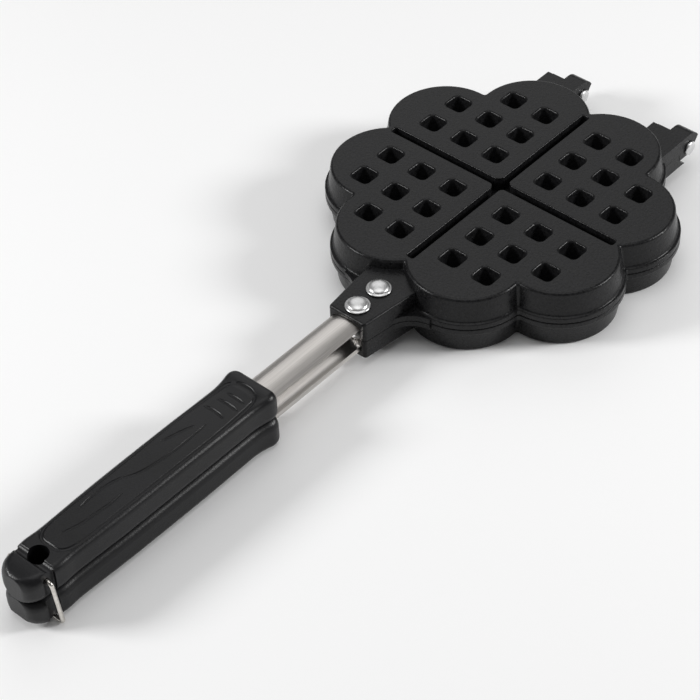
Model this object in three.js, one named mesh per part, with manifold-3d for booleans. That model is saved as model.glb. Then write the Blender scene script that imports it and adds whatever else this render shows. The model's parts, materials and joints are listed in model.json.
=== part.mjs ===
// Stovetop waffle iron, closed and latched, standing on its lower plate.
// Millimetres, +Z up. +X runs from the handle ends to the hinges, +Y to the left seen from the handles.
// Each half is modelled over the parting plane at height 0 and the lower one is turned half a turn about X,
// because both halves come from the same casting, strip and rivets.
import * as THREE from 'three';
import { mergeVertices } from 'three/addons/utils/BufferGeometryUtils.js';
import Module from 'manifold-3d';

// Clearances
const seatGap = 0.3;
const cutOverrun = 2;
const weldReach = 1e-5;

// Plate casting
const lobes = 8;
const lobeReach = 51.8;
const lobeRadius = 26.2;
const plateHeight = 14.4;
const topEdgeRound = 1.5;
const wallDraft = 1.3;
const flangeOut = 3;
const flangeThickness = 2.9;
const ledgeFillet = 1;
const flangeEdgeRound = 0.5;
const valleyFillet = 1.6;
const skinThickness = 3.2;
const sideWall = 4;
const cavityDraft = 0.9;

// Waffle pattern: pits outside stand behind the studs inside
const cellPitch = 18;
const firstCell = 14.8;
const cellsPerSide = 3;
const pitSide = 9.2;
const pitFloorSide = 5.4;
const pitDepth = 9;
const pitCornerRound = 1.8;
const studBaseSide = 12.4;
const studTipSide = 8.6;
const studTipClearance = 3;
const studCornerRound = 2;

// Cross that parts the four hearts: a groove outside and a ridge inside
const grooveReach = 62;
const grooveWidth = 3.9;
const grooveFloorWidth = 2.6;
const grooveDepth = 7.4;
const heartCornerRadius = 3.6;
const ridgeTipWidth = 4.4;
const ridgeBaseWidth = 8.2;
const ridgeTipClearance = 1;

// Hinges
const hingeAxisReach = 88;
const hingeOffset = 30.3;
const hingeWidth = 18.4;
const knuckleRadius = 7.5;
const knuckleTrim = 3.7;
const knuckleBevel = 3.3;
const knuckleBevelAngle = 36.9;
const reliefArcShare = 0.94;
const armRoot = 62;
const pinRadius = 2;
const pinHeadRadius = 3.4;
const pinHeadHeight = 1.6;
const pinPeenRadius = 2.9;
const pinPeenHeight = 1;

// Neck that carries the handle strip
const neckFront = 103;
const neckRoot = 60;
const neckShoulder = 76.6;
const neckFrontHalfWidth = 10;
const neckShoulderHalfWidth = 13.4;
const neckHeight = 9.9;
const neckDraft = 0.5;
const neckEdgeRound = 0.9;
const neckCornerRound = 1.4;
const gussetStart = 92;
const gussetReach = 77.4;
const gussetHalfWidth = 23.8;
const gussetSweepShare = 0.8;

// Handle strip, arched across its width
const stripWidth = 15;
const stripThickness = 1.5;
const stripArch = 2.1;
const stripCrown = 7.9;
const stripFront = 77;

// Rivets through neck and strip
const rivetFirst = 82.1;
const rivetPitch = 13.6;
const rivetShankRadius = 2.4;
const rivetHeadRadius = 5.5;
const rivetHeadHeight = 2.5;
const rivetTailRadius = 3.6;
const rivetTailHeight = 1.4;
const rivetTailFootShare = 0.8;
const domeSkirtShare = 0.25;

// Grips
const gripFront = 157.5;
const gripBack = 292;
const gripHalfWidth = 12.6;
const gripHeight = 14.25;
const gripCornerRound = 2.4;
const gripInnerRound = 2.2;
const stripBackSetback = 25;
const panelFrontSetback = 6;
const panelBackSetback = 20.5;
const panelInset = 3.6;
const panelCornerRound = 5;
const panelGrooveWidth = 1.1;
const panelGrooveDepth = 0.7;
const hangHoleSetback = 14;
const hangHoleRadius = 4.4;
const saddleSetback = 12.5;
const saddleRadius = 5.2;
const saddleDepth = 2.6;
// Share of the grip's length, of its half width and of its height, from the front to the end.
const gripStationShares = [
  [0, 0.92, 0.93], [0.018, 0.995, 1], [0.035, 1, 1], [0.062, 0.95, 0.97], [0.1, 0.905, 0.95],
  [0.17, 0.9, 0.955], [0.3, 0.905, 0.97], [0.43, 0.9, 0.975], [0.56, 0.895, 0.97], [0.66, 0.88, 0.965],
  [0.75, 0.85, 0.96], [0.83, 0.83, 0.96], [0.88, 0.86, 0.96], [0.91, 0.83, 0.96], [0.94, 0.825, 0.955],
  [0.962, 0.79, 0.94], [0.979, 0.73, 0.91], [0.99, 0.63, 0.86], [1, 0.45, 0.76],
];

// Grip screws and their inserts
const screwFrontSetback = 20.5;
const screwRearSetback = 40;
const screwShankRadius = 2;
const screwHeadRadius = 3.6;
const screwHeadHeight = 1.8;
const insertRadius = 3.2;
const insertLength = 3.6;
const screwHeadFootShare = 0.7;
const screwHeadEdgeShare = 0.5;
const screwTipShare = 0.6;
const screwTipLengthShare = 0.4;

// Wire bail
const wireRadius = 1;
const bailPivotSetback = 9;
const bailPivotHeight = 9.2;
const bailPivotHalfWidth = 11.6;
const bailStubEnd = 6.4;
const bailBarSetback = 10.4;
const bailBarDrop = 13.1;
const bailBarHalfWidth = 13;
const bailBendRadius = 1.8;
const catchSetback = 12.1;
const wireChannelSetback = 12.6;
const wireChannelLength = 6;
const wireChannelDepth = 1.6;

// Places along the handle, set back from the grip's ends
const stripBack = gripBack - stripBackSetback;
const panelFront = gripFront + panelFrontSetback;
const panelBack = gripBack - panelBackSetback;
const hangHolePlace = gripBack - hangHoleSetback;
const saddlePlace = gripBack - saddleSetback;
const screwPlaces = [gripFront + screwFrontSetback, gripBack - screwRearSetback];
const bailPivotPlace = gripBack - bailPivotSetback;
const bailBarPlace = gripBack - bailBarSetback;
const catchStep = gripBack - catchSetback;

// Steps of curved faces
const lobeSteps = 8;
const valleySteps = 3;
const edgeRoundSteps = 2;
const cornerSteps = 1;
const grooveEndSteps = 2;
const gripCornerSteps = 2;
const stripSteps = 4;
const roundSteps = 16;
const smallRoundSteps = 12;
const domeSteps = 3;
const bendSteps = 3;
const wireSides = 8;

const wasm = await Module();
wasm.setup();

// Solids and meshes

function solidOf(geometry) {
  const bare = geometry.clone();
  bare.deleteAttribute('normal');
  bare.deleteAttribute('uv');
  const merged = mergeVertices(bare, weldReach);
  const vertProperties = new Float32Array(merged.attributes.position.array);
  const triVerts = new Uint32Array(merged.index.array);
  return new wasm.Manifold(new wasm.Mesh({ numProp: 3, vertProperties, triVerts }));
}

function geometryOf(solid) {
  const mesh = solid.getMesh();
  const geometry = new THREE.BufferGeometry();
  geometry.setAttribute('position', new THREE.BufferAttribute(new Float32Array(mesh.vertProperties), 3));
  geometry.setIndex(new THREE.BufferAttribute(new Uint32Array(mesh.triVerts), 1));
  const faceted = geometry.toNonIndexed();
  faceted.computeVertexNormals();
  return faceted;
}

// A closed skin over rings of equal point counts, each ring flat at its own height.
function loft(rings) {
  const count = rings[0].points.length;
  const positions = [];
  const faces = [];
  for (const ring of rings) {
    for (const point of ring.points) positions.push(point.x, point.y, ring.height);
  }
  for (let level = 0; level + 1 < rings.length; level += 1) {
    for (let i = 0; i < count; i += 1) {
      const a = level * count + i;
      const b = level * count + (i + 1) % count;
      faces.push(a, b, b + count, a, b + count, a + count);
    }
  }
  const last = (rings.length - 1) * count;
  for (const [a, b, c] of THREE.ShapeUtils.triangulateShape(rings[0].points, [])) faces.push(a, c, b);
  for (const [a, b, c] of THREE.ShapeUtils.triangulateShape(rings[rings.length - 1].points, [])) {
    faces.push(last + a, last + b, last + c);
  }
  const geometry = new THREE.BufferGeometry();
  geometry.setAttribute('position', new THREE.Float32BufferAttribute(positions, 3));
  geometry.setIndex(faces);
  return geometry;
}

// A flat outline pushed up from one height to another.
function standing(shape, bottom, top) {
  const depth = top - bottom;
  const settings = { depth, bevelEnabled: false, curveSegments: roundSteps / 4 };
  return new THREE.ExtrudeGeometry(shape, settings).translate(0, 0, bottom);
}

// A side profile, drawn with X forward and its second axis up, pushed across from low Y to high Y.
function across(shape, low, high, curveSegments = roundSteps / 4) {
  const settings = { depth: high - low, bevelEnabled: false, curveSegments };
  return new THREE.ExtrudeGeometry(shape, settings).rotateX(Math.PI / 2).translate(0, high, 0);
}

// A section drawn with Y to the left and its second axis up, pushed along X.
function along(shape, low, high, curveSegments = 3) {
  const settings = { depth: high - low, bevelEnabled: false, curveSegments };
  const turn = new THREE.Matrix4().makeBasis(
    new THREE.Vector3(0, 1, 0), new THREE.Vector3(0, 0, 1), new THREE.Vector3(1, 0, 0));
  return new THREE.ExtrudeGeometry(shape, settings).applyMatrix4(turn).translate(low, 0, 0);
}

function upright(radius, bottom, top, steps = roundSteps) {
  const middle = (top + bottom) / 2;
  return new THREE.CylinderGeometry(radius, radius, top - bottom, steps)
    .rotateX(Math.PI / 2).translate(0, 0, middle);
}

function polygon(points) {
  return new THREE.Shape(points.map(([x, y]) => new THREE.Vector2(x, y)));
}

function roundedRing(halfX, halfY, radius, steps) {
  const points = [];
  const corners = [[1, 1, 0], [-1, 1, 1], [-1, -1, 2], [1, -1, 3]];
  for (const [sideX, sideY, quarter] of corners) {
    for (let i = 0; i <= steps; i += 1) {
      const angle = (quarter + i / steps) * Math.PI / 2;
      const x = sideX * (halfX - radius) + radius * Math.cos(angle);
      const y = sideY * (halfY - radius) + radius * Math.sin(angle);
      points.push(new THREE.Vector2(x, y));
    }
  }
  return points;
}

// A four-sided taper with rounded corners, standing on its own place in the grid.
function taper(lowSide, highSide, radius, bottom, top) {
  const rings = [
    { height: bottom, points: roundedRing(lowSide / 2, lowSide / 2, radius, cornerSteps) },
    { height: top, points: roundedRing(highSide / 2, highSide / 2, radius, cornerSteps) },
  ];
  return solidOf(loft(rings));
}

// Plate casting

function lobedRing(offset) {
  const radius = lobeRadius + offset;
  const fillet = valleyFillet + flangeOut - offset;
  const halfTurn = Math.PI / lobes;
  const halfSpacing = lobeReach * Math.sin(halfTurn);
  const filletReach = lobeReach * Math.cos(halfTurn) + Math.sqrt((radius + fillet) ** 2 - halfSpacing ** 2);
  const sweep = Math.atan2(
    filletReach * Math.sin(halfTurn), filletReach * Math.cos(halfTurn) - lobeReach);
  const points = [];
  for (let lobe = 0; lobe < lobes; lobe += 1) {
    const heading = (2 * lobe + 1) * halfTurn;
    for (let i = 0; i <= lobeSteps; i += 1) {
      const angle = heading + sweep * (2 * i / lobeSteps - 1);
      const x = lobeReach * Math.cos(heading) + radius * Math.cos(angle);
      const y = lobeReach * Math.sin(heading) + radius * Math.sin(angle);
      points.push(new THREE.Vector2(x, y));
    }
    const valley = heading + halfTurn;
    const filletSweep = sweep - halfTurn;
    for (let i = 1; i < valleySteps; i += 1) {
      const angle = valley + Math.PI + filletSweep * (1 - 2 * i / valleySteps);
      const x = filletReach * Math.cos(valley) + fillet * Math.cos(angle);
      const y = filletReach * Math.sin(valley) + fillet * Math.sin(angle);
      points.push(new THREE.Vector2(x, y));
    }
  }
  return points;
}

function plateBody() {
  const foot = seatGap / 2;
  const ledgeTop = flangeThickness;
  const rings = [
    { height: foot, points: lobedRing(flangeOut) },
    { height: ledgeTop - flangeEdgeRound, points: lobedRing(flangeOut) },
    { height: ledgeTop, points: lobedRing(flangeOut - flangeEdgeRound) },
    { height: ledgeTop, points: lobedRing(wallDraft + ledgeFillet) },
    { height: ledgeTop + ledgeFillet, points: lobedRing(wallDraft) },
  ];
  for (let i = 0; i <= edgeRoundSteps; i += 1) {
    const angle = i / edgeRoundSteps * Math.PI / 2;
    const drop = topEdgeRound * (1 - Math.sin(angle));
    const inset = topEdgeRound * (1 - Math.cos(angle));
    rings.push({ height: plateHeight - drop, points: lobedRing(-inset) });
  }
  return solidOf(loft(rings));
}

function cellPlaces() {
  const reach = Array.from({ length: cellsPerSide }, (_, i) => firstCell + i * cellPitch);
  const outermost = reach[cellsPerSide - 1];
  const places = [];
  for (const x of reach) {
    for (const y of reach) {
      if (x === outermost && y === outermost) continue;
      places.push([x, y], [-x, y], [-x, -y], [x, -y]);
    }
  }
  return places;
}

function ridge() {
  const top = plateHeight;
  const tip = ridgeTipClearance;
  const ceiling = plateHeight - skinThickness;
  const growth = (ridgeBaseWidth - ridgeTipWidth) / 2 / (ceiling - tip);
  const topHalf = ridgeBaseWidth / 2 + growth * (top - ceiling);
  const reach = lobeReach + lobeRadius;
  const section = polygon([
    [-ridgeTipWidth / 2, tip], [ridgeTipWidth / 2, tip], [topHalf, top], [-topHalf, top]]);
  return solidOf(along(section, -reach, reach));
}

function cavity() {
  const ceiling = plateHeight - skinThickness;
  const openSlope = cavityDraft / ceiling;
  const rings = [
    { height: -cutOverrun, points: lobedRing(-sideWall + openSlope * cutOverrun) },
    { height: ceiling, points: lobedRing(-sideWall - cavityDraft) },
  ];
  const lengthwise = ridge();
  const crosswise = ridge().rotate([0, 0, 90]);
  const stud = taper(studTipSide, studBaseSide, studCornerRound, studTipClearance, ceiling + cutOverrun);
  const studs = cellPlaces().map(([x, y]) => stud.translate([x, y, 0]));
  return solidOf(loft(rings)).subtract(lengthwise).subtract(crosswise)
    .subtract(wasm.Manifold.union(studs));
}

function pits() {
  const floor = plateHeight - pitDepth;
  const slope = (pitSide - pitFloorSide) / pitDepth;
  const mouthSide = pitSide + slope * cutOverrun;
  const pit = taper(pitFloorSide, mouthSide, pitCornerRound, floor, plateHeight + cutOverrun);
  return wasm.Manifold.union(cellPlaces().map(([x, y]) => pit.translate([x, y, 0])));
}

function groove() {
  const floor = plateHeight - grooveDepth;
  const slope = (grooveWidth - grooveFloorWidth) / 2 / grooveDepth;
  const widen = slope * cutOverrun;
  const floorHalf = grooveFloorWidth / 2;
  const mouthHalf = grooveWidth / 2 + widen;
  const inset = grooveWidth / 2 - floorHalf;
  const rings = [
    { height: floor, points: roundedRing(grooveReach - inset, floorHalf, floorHalf, grooveEndSteps) },
    { height: plateHeight + cutOverrun, points: roundedRing(grooveReach + widen, mouthHalf, mouthHalf, grooveEndSteps) },
  ];
  return solidOf(loft(rings));
}

// Where the grooves cross, the four heart tips are rounded.
function heartTips() {
  const half = grooveWidth / 2;
  const centre = half + heartCornerRadius;
  const shape = new THREE.Shape();
  shape.moveTo(half, centre);
  shape.absarc(-centre, centre, heartCornerRadius, 0, -Math.PI / 2, true);
  shape.absarc(-centre, -centre, heartCornerRadius, Math.PI / 2, 0, true);
  shape.absarc(centre, -centre, heartCornerRadius, Math.PI, Math.PI / 2, true);
  shape.absarc(centre, centre, heartCornerRadius, -Math.PI / 2, -Math.PI, true);
  return solidOf(standing(shape, plateHeight - grooveDepth, plateHeight + cutOverrun));
}

function neckRing(inset, back) {
  const front = -neckFront + inset;
  const frontHalf = neckFrontHalfWidth - inset;
  const shoulderHalf = neckShoulderHalfWidth - inset;
  const round = neckCornerRound;
  const points = [
    [front + round, -frontHalf], [-neckShoulder, -shoulderHalf], [back, -shoulderHalf],
    [back, shoulderHalf], [-neckShoulder, shoulderHalf], [front + round, frontHalf],
    [front, frontHalf - round], [front, -frontHalf + round]];
  return points.map(([x, y]) => new THREE.Vector2(x, y));
}

function neck() {
  const rings = [
    { height: seatGap / 2, points: neckRing(-neckDraft, -neckRoot) },
    { height: neckHeight - neckEdgeRound, points: neckRing(0, -neckRoot) },
    { height: neckHeight, points: neckRing(neckEdgeRound, -neckRoot) },
  ];
  return solidOf(loft(rings));
}

// The flange sweeps out of the neck's sides to meet the lobes.
function gusset() {
  const span = gussetStart - neckShoulder;
  const startHalf = neckFrontHalfWidth
    + (neckShoulderHalfWidth - neckFrontHalfWidth) * (neckFront - gussetStart) / (neckFront - neckShoulder);
  const shape = new THREE.Shape();
  shape.moveTo(-gussetStart, -startHalf);
  const sweepEnd = -gussetStart + span * gussetSweepShare;
  shape.quadraticCurveTo(sweepEnd, -startHalf - neckDraft, -gussetReach, -gussetHalfWidth);
  shape.lineTo(-neckRoot, -gussetHalfWidth);
  shape.lineTo(-neckRoot, gussetHalfWidth);
  shape.lineTo(-gussetReach, gussetHalfWidth);
  shape.quadraticCurveTo(sweepEnd, startHalf + neckDraft, -gussetStart, startHalf);
  return solidOf(standing(shape, seatGap / 2, flangeThickness));
}

// Handle strip section: an arch of even thickness, its crown at the given height.
function stripSection(crown, halfWidth, thickness, foot) {
  const radius = (stripWidth ** 2 / 4 + stripArch ** 2) / 2 / stripArch;
  const outer = radius + crown - stripCrown;
  const centre = stripCrown - radius;
  const edge = Math.asin(halfWidth / outer);
  const shape = new THREE.Shape();
  shape.absarc(0, centre, outer, Math.PI / 2 + edge, Math.PI / 2 - edge, true);
  if (foot === undefined) {
    shape.absarc(0, centre, outer - thickness, Math.PI / 2 - edge, Math.PI / 2 + edge, false);
  } else {
    shape.lineTo(halfWidth, foot);
    shape.lineTo(-halfWidth, foot);
  }
  return shape;
}

function stripRoom(low, high) {
  const half = stripWidth / 2 + seatGap;
  return solidOf(along(stripSection(stripCrown + seatGap, half, 0, -cutOverrun), low, high));
}

const knuckleBevelTurn = knuckleBevelAngle * Math.PI / 180;
const knuckleTipAngle = Math.acos(knuckleBevel / knuckleRadius) - knuckleBevelTurn;

function hinge(middle) {
  const half = hingeWidth / 2;
  const split = seatGap / 2;
  const r = knuckleRadius;
  const bevel = knuckleBevelTurn;
  const trimInner = Math.asin(knuckleTrim / r);
  const trimOuter = (knuckleBevel - knuckleTrim * Math.sin(bevel)) / Math.cos(bevel);
  const knuckle = new THREE.Shape();
  knuckle.moveTo(armRoot - hingeAxisReach, split);
  knuckle.absarc(0, 0, r, Math.PI, Math.PI + trimInner, false);
  knuckle.lineTo(trimOuter, -knuckleTrim);
  knuckle.absarc(0, 0, r, knuckleTipAngle, Math.PI / 2, false);
  knuckle.lineTo(armRoot - hingeAxisReach, r);
  const relief = r + seatGap;
  const reliefEnd = Math.asin(r / relief) * reliefArcShare;
  const block = new THREE.Shape();
  block.moveTo(armRoot - hingeAxisReach, split);
  block.absarc(0, 0, relief, Math.PI, Math.PI - reliefEnd, true);
  block.lineTo(armRoot - hingeAxisReach, relief * Math.sin(reliefEnd));
  const arm = solidOf(across(knuckle, middle - half, middle - split));
  const seat = solidOf(across(block, middle - split, middle + half));
  return arm.add(seat).translate([hingeAxisReach, 0, 0]);
}

function hingeBore(middle) {
  const radius = pinRadius + seatGap;
  const length = hingeWidth + 2 * cutOverrun;
  return solidOf(new THREE.CylinderGeometry(radius, radius, length, roundSteps).translate(0, middle, 0))
    .translate([hingeAxisReach, 0, 0]);
}

// The pin's head and peen clear the casting on both sides of the hinge.
function pinHeadRoom(middle) {
  const radius = pinHeadRadius + seatGap;
  const reach = pinHeadHeight + 2 * seatGap;
  const place = hingeWidth / 2 + reach / 2;
  const room = new THREE.CylinderGeometry(radius, radius, reach, roundSteps);
  const near = solidOf(room.clone().translate(0, middle - place, 0));
  const far = solidOf(room.translate(0, middle + place, 0));
  return near.add(far).translate([hingeAxisReach, 0, 0]);
}

// The neighbour's knuckle turns in this casting, so its swept space is cut away.
function knuckleRoom(middle) {
  const radius = knuckleRadius + seatGap;
  const half = hingeWidth / 2;
  const split = seatGap / 2;
  const high = middle + half + cutOverrun;
  const length = high - middle + split;
  const centre = (high + middle - split) / 2;
  return solidOf(new THREE.CylinderGeometry(radius, radius, length, roundSteps * 2).translate(0, centre, 0))
    .translate([hingeAxisReach, 0, 0]);
}

const rivetPlaces = [rivetFirst, rivetFirst + rivetPitch];

function plateCasting() {
  let solid = plateBody().add(gusset()).add(hinge(hingeOffset)).add(hinge(-hingeOffset));
  solid = solid.subtract(cavity());
  solid = solid.add(neck()).subtract(stripRoom(-neckFront - cutOverrun, -stripFront + seatGap));
  const crossGroove = groove().add(groove().rotate([0, 0, 90])).add(heartTips());
  solid = solid.subtract(pits()).subtract(crossGroove);
  for (const middle of [hingeOffset, -hingeOffset]) {
    solid = solid.subtract(hingeBore(middle)).subtract(pinHeadRoom(middle)).subtract(knuckleRoom(middle));
  }
  for (const place of rivetPlaces) {
    const bore = solidOf(upright(rivetShankRadius + seatGap, 0, neckHeight + cutOverrun));
    solid = solid.subtract(bore.translate([-place, 0, 0]));
  }
  return solid;
}

// Handle strip

function handleStrip() {
  const section = stripSection(stripCrown, stripWidth / 2, stripThickness);
  let strip = solidOf(along(section, -stripBack, -stripFront, stripSteps));
  const bores = rivetPlaces.map((place) => [place, rivetShankRadius])
    .concat(screwPlaces.map((place) => [place, screwShankRadius]));
  for (const [place, radius] of bores) {
    strip = strip.subtract(solidOf(upright(radius + seatGap, 0, plateHeight)).translate([-place, 0, 0]));
  }
  return strip;
}

// Fasteners, turned about their own axes

function turned(profile, steps = roundSteps) {
  return new THREE.LatheGeometry(profile.map(([x, y]) => new THREE.Vector2(x, y)), steps);
}

function archDrop(reach) {
  const radius = (stripWidth ** 2 / 4 + stripArch ** 2) / 2 / stripArch;
  return radius - Math.sqrt(radius ** 2 - reach ** 2);
}

function domeProfile(radius, height, base) {
  return Array.from({ length: domeSteps + 1 }, (_, i) => {
    const angle = i / domeSteps * Math.PI / 2;
    const rise = domeSkirtShare + (1 - domeSkirtShare) * Math.sin(angle);
    return [radius * Math.cos(angle), base + height * rise];
  });
}

function rivet() {
  const underside = stripCrown - stripThickness - archDrop(rivetTailRadius) - seatGap;
  const tailFoot = underside - rivetTailHeight;
  const seat = neckHeight + seatGap;
  const profile = [
    [0, tailFoot], [rivetTailRadius * rivetTailFootShare, tailFoot], [rivetTailRadius, tailFoot + rivetTailHeight / 2],
    [rivetTailRadius, underside], [rivetShankRadius, underside], [rivetShankRadius, seat],
    [rivetHeadRadius, seat], ...domeProfile(rivetHeadRadius, rivetHeadHeight, seat)];
  profile[profile.length - 1][0] = 0;
  return turned(profile).rotateX(Math.PI / 2);
}

function hingePin() {
  const half = hingeWidth / 2 + seatGap;
  const peen = domeProfile(pinPeenRadius, pinPeenHeight, half);
  peen[peen.length - 1][0] = 0;
  const head = domeProfile(pinHeadRadius, pinHeadHeight, half).reverse()
    .map(([x, y]) => [x, -y]);
  head[0][0] = 0;
  const profile = [
    ...head, [pinHeadRadius, -half], [pinRadius, -half], [pinRadius, half], [pinPeenRadius, half], ...peen];
  return turned(profile);
}

function gripScrew() {
  const seat = stripCrown - stripThickness - archDrop(screwHeadRadius) - seatGap;
  const foot = seat - screwHeadHeight;
  const tip = stripCrown + seatGap + insertLength;
  const profile = [
    [0, foot], [screwHeadRadius * screwHeadFootShare, foot],
    [screwHeadRadius, foot + screwHeadHeight * screwHeadEdgeShare], [screwHeadRadius, seat],
    [screwShankRadius, seat], [screwShankRadius, tip - screwShankRadius * screwTipLengthShare],
    [screwShankRadius * screwTipShare, tip], [0, tip]];
  return turned(profile, smallRoundSteps).rotateX(Math.PI / 2);
}

function screwInsert() {
  const bottom = stripCrown + seatGap + seatGap;
  const top = bottom + insertLength + seatGap;
  const ring = solidOf(upright(insertRadius, bottom, top, smallRoundSteps));
  const boreTop = top - seatGap / 2;
  const bore = upright(screwShankRadius + seatGap, bottom - cutOverrun, boreTop, smallRoundSteps);
  return ring.subtract(solidOf(bore));
}

// Grips

function gripRing(halfWidth, height, foot) {
  const outer = Math.min(gripCornerRound, halfWidth - gripInnerRound);
  const corners = [
    [halfWidth - outer, height - outer, outer, 0], [-halfWidth + outer, height - outer, outer, 1],
    [-halfWidth + gripInnerRound, foot + gripInnerRound, gripInnerRound, 2],
    [halfWidth - gripInnerRound, foot + gripInnerRound, gripInnerRound, 3]];
  const points = [];
  for (const [x, y, radius, quarter] of corners) {
    for (let i = 0; i <= gripCornerSteps; i += 1) {
      const angle = (quarter + i / gripCornerSteps) * Math.PI / 2;
      points.push(new THREE.Vector2(x + radius * Math.cos(angle), y + radius * Math.sin(angle)));
    }
  }
  return points;
}

function gripBlank() {
  const length = gripBack - gripFront;
  const rings = gripStationShares.map(([place, width, height]) => ({
    height: gripFront + place * length,
    points: gripRing(width * gripHalfWidth, height * gripHeight, seatGap / 2),
  }));
  const turn = new THREE.Matrix4().makeBasis(
    new THREE.Vector3(0, 1, 0), new THREE.Vector3(0, 0, 1), new THREE.Vector3(1, 0, 0));
  const solid = solidOf(loft(rings).applyMatrix4(turn));
  return solid.mirror([1, 0, 0]);
}

// The half width and height that the blank has at a place along it.
function gripAt(place) {
  const share = (place - gripFront) / (gripBack - gripFront);
  const next = gripStationShares.findIndex(([start]) => start >= share);
  const [low, lowWidth, lowHeight] = gripStationShares[next - 1];
  const [high, highWidth, highHeight] = gripStationShares[next];
  const part = (share - low) / (high - low);
  return {
    halfWidth: gripHalfWidth * (lowWidth + part * (highWidth - lowWidth)),
    height: gripHeight * (lowHeight + part * (highHeight - lowHeight)),
  };
}

function panelOutline(inset) {
  const front = -panelFront - inset;
  const back = -panelBack + inset;
  const frontHalf = gripAt(panelFront).halfWidth - panelInset - inset;
  const backHalf = gripAt(panelBack).halfWidth - panelInset - inset;
  const round = panelCornerRound - inset;
  const shape = new THREE.Shape();
  shape.moveTo(front - round, frontHalf);
  shape.lineTo(back + round, backHalf);
  shape.quadraticCurveTo(back, backHalf, back, backHalf - round);
  shape.lineTo(back, -backHalf + round);
  shape.quadraticCurveTo(back, -backHalf, back + round, -backHalf);
  shape.lineTo(front - round, -frontHalf);
  shape.quadraticCurveTo(front, -frontHalf, front, -frontHalf + round);
  shape.lineTo(front, frontHalf - round);
  shape.quadraticCurveTo(front, frontHalf, front - round, frontHalf);
  return shape;
}

function panelGroove() {
  const floor = gripAt(panelBack).height - panelGrooveDepth;
  const outer = solidOf(standing(panelOutline(0), floor, plateHeight + cutOverrun));
  const island = standing(panelOutline(panelGrooveWidth), floor - cutOverrun, plateHeight + 2 * cutOverrun);
  return outer.subtract(solidOf(island));
}

function grip() {
  let solid = gripBlank().subtract(panelGroove());
  solid = solid.subtract(stripRoom(-stripBack - seatGap, -gripFront + cutOverrun));
  const hangHole = upright(hangHoleRadius, -cutOverrun, plateHeight + cutOverrun);
  solid = solid.subtract(solidOf(hangHole).translate([-hangHolePlace, 0, 0]));
  for (const place of screwPlaces) {
    const top = stripCrown + insertLength + 3 * seatGap;
    const pocket = solidOf(upright(insertRadius + seatGap, stripCrown, top + seatGap, smallRoundSteps));
    solid = solid.subtract(pocket.translate([-place, 0, 0]));
  }
  return solid;
}

const fullWidth = 2 * gripHalfWidth + 2 * cutOverrun;

// A shallow channel in each side of the end, in which the bail's legs lie.
function wireChannels() {
  const front = gripBack - wireChannelSetback;
  const floor = gripAt(front).halfWidth - wireChannelDepth;
  const block = (halfWidth) => solidOf(new THREE.BoxGeometry(wireChannelLength, 2 * halfWidth, fullWidth * 2));
  return block(fullWidth).subtract(block(floor)).translate([-front - wireChannelLength / 2, 0, 0]);
}

function upperGrip() {
  const saddleHeight = gripAt(saddlePlace).height - saddleDepth + saddleRadius;
  const saddle = solidOf(new THREE.CylinderGeometry(saddleRadius, saddleRadius, fullWidth, roundSteps))
    .translate([-saddlePlace, 0, saddleHeight]);
  const boreRadius = wireRadius + seatGap;
  const bore = solidOf(new THREE.CylinderGeometry(boreRadius, boreRadius, fullWidth, smallRoundSteps))
    .translate([-bailPivotPlace, 0, bailPivotHeight]);
  const core = solidOf(new THREE.BoxGeometry(fullWidth, 2 * (bailStubEnd - seatGap), fullWidth))
    .translate([-bailPivotPlace, 0, 0]);
  return grip().subtract(saddle).subtract(bore.subtract(core)).subtract(wireChannels());
}

// The end of the lower grip lets the bail's bar swing under it.
function lowerGrip() {
  const reach = Math.hypot(bailPivotPlace - bailBarPlace, bailPivotHeight + bailBarDrop);
  const swing = reach - wireRadius - seatGap;
  const length = gripBack - catchStep + cutOverrun;
  const block = solidOf(new THREE.BoxGeometry(length, fullWidth, 2 * plateHeight))
    .translate([-catchStep - length / 2, 0, plateHeight]);
  const cam = solidOf(new THREE.CylinderGeometry(swing, swing, fullWidth + cutOverrun, roundSteps * 3))
    .translate([-bailPivotPlace, 0, -bailPivotHeight]);
  return grip().subtract(block.subtract(cam)).subtract(wireChannels());
}

// Wire bail

// A round wire along points that all lie in the plane across the given normal.
function wire(points, normal) {
  const positions = [];
  const faces = [];
  const last = points.length - 1;
  points.forEach((point, i) => {
    const arrive = points[Math.max(i, 1)].clone().sub(points[Math.max(i, 1) - 1]).normalize();
    const leave = points[Math.min(i, last - 1) + 1].clone().sub(points[Math.min(i, last - 1)]).normalize();
    const mitre = 1 / Math.sqrt((1 + arrive.dot(leave)) / 2);
    const outward = normal.clone().cross(arrive.clone().add(leave).normalize()).multiplyScalar(mitre);
    for (let k = 0; k < wireSides; k += 1) {
      const angle = k / wireSides * 2 * Math.PI;
      const spoke = normal.clone().multiplyScalar(Math.cos(angle)).addScaledVector(outward, Math.sin(angle));
      positions.push(...point.clone().addScaledVector(spoke, wireRadius).toArray());
    }
  });
  for (let level = 0; level < last; level += 1) {
    for (let k = 0; k < wireSides; k += 1) {
      const a = level * wireSides + k;
      const b = level * wireSides + (k + 1) % wireSides;
      faces.push(a, b + wireSides, b, a, a + wireSides, b + wireSides);
    }
  }
  for (let k = 1; k + 1 < wireSides; k += 1) {
    faces.push(0, k, k + 1);
    faces.push(last * wireSides, last * wireSides + k + 1, last * wireSides + k);
  }
  const geometry = new THREE.BufferGeometry();
  geometry.setAttribute('position', new THREE.Float32BufferAttribute(positions, 3));
  geometry.setIndex(faces);
  const faceted = geometry.toNonIndexed();
  faceted.computeVertexNormals();
  return faceted;
}

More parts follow.
